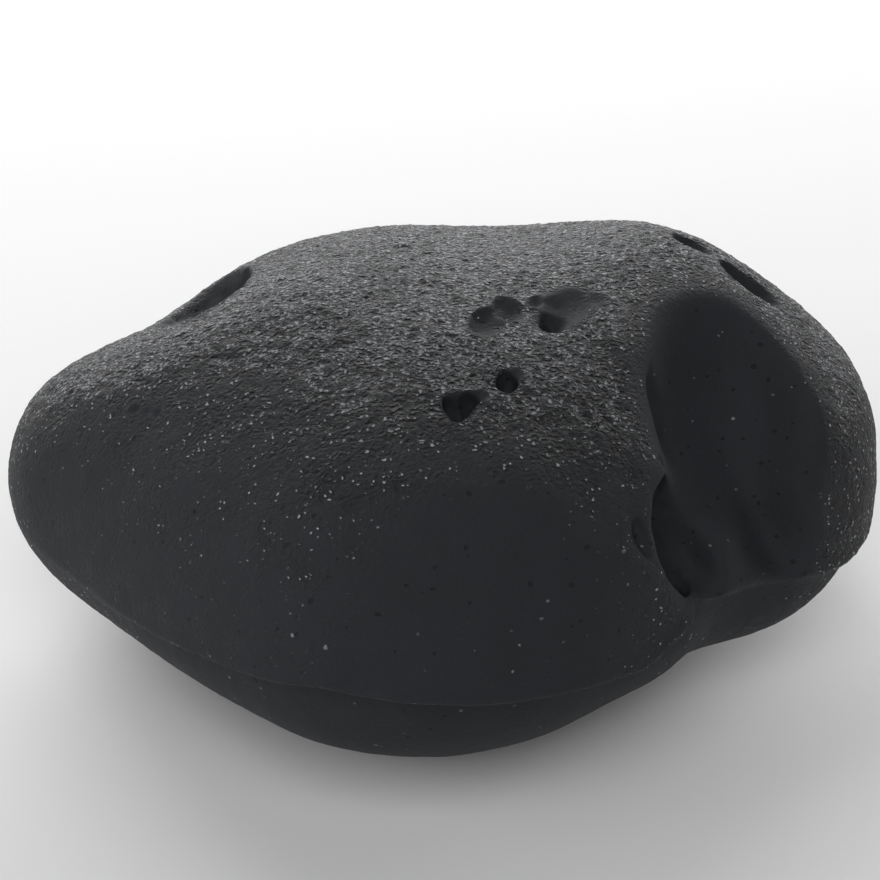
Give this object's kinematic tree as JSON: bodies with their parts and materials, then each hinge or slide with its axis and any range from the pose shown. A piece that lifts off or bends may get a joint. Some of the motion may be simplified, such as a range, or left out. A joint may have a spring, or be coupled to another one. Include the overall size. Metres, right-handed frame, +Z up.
{
  "type": "river rock",
  "caption": "Water-worn dark river cobble with a smooth valley beside its right lobe, round gas holes and shallow pits on the crown, a ledge round the front and a flat to rest on.",
  "frame": {"origin": "centre of the stone's bounding box, at the level of the flat it rests on", "axes": "+X along the stone's length towards the lobe with the valley, +Y towards the back, away from the ledge, +Z up, out of the crown"},
  "size_m": [0.1844, 0.1466, 0.0875],
  "materials": {
    "water_worn_basalt": "matte dark grey, finely rough on the crown and worn smooth in the hollows"
  },
  "bodies": {
    "root": {"river_rock": "water_worn_basalt"}
  },
  "joints": []
}
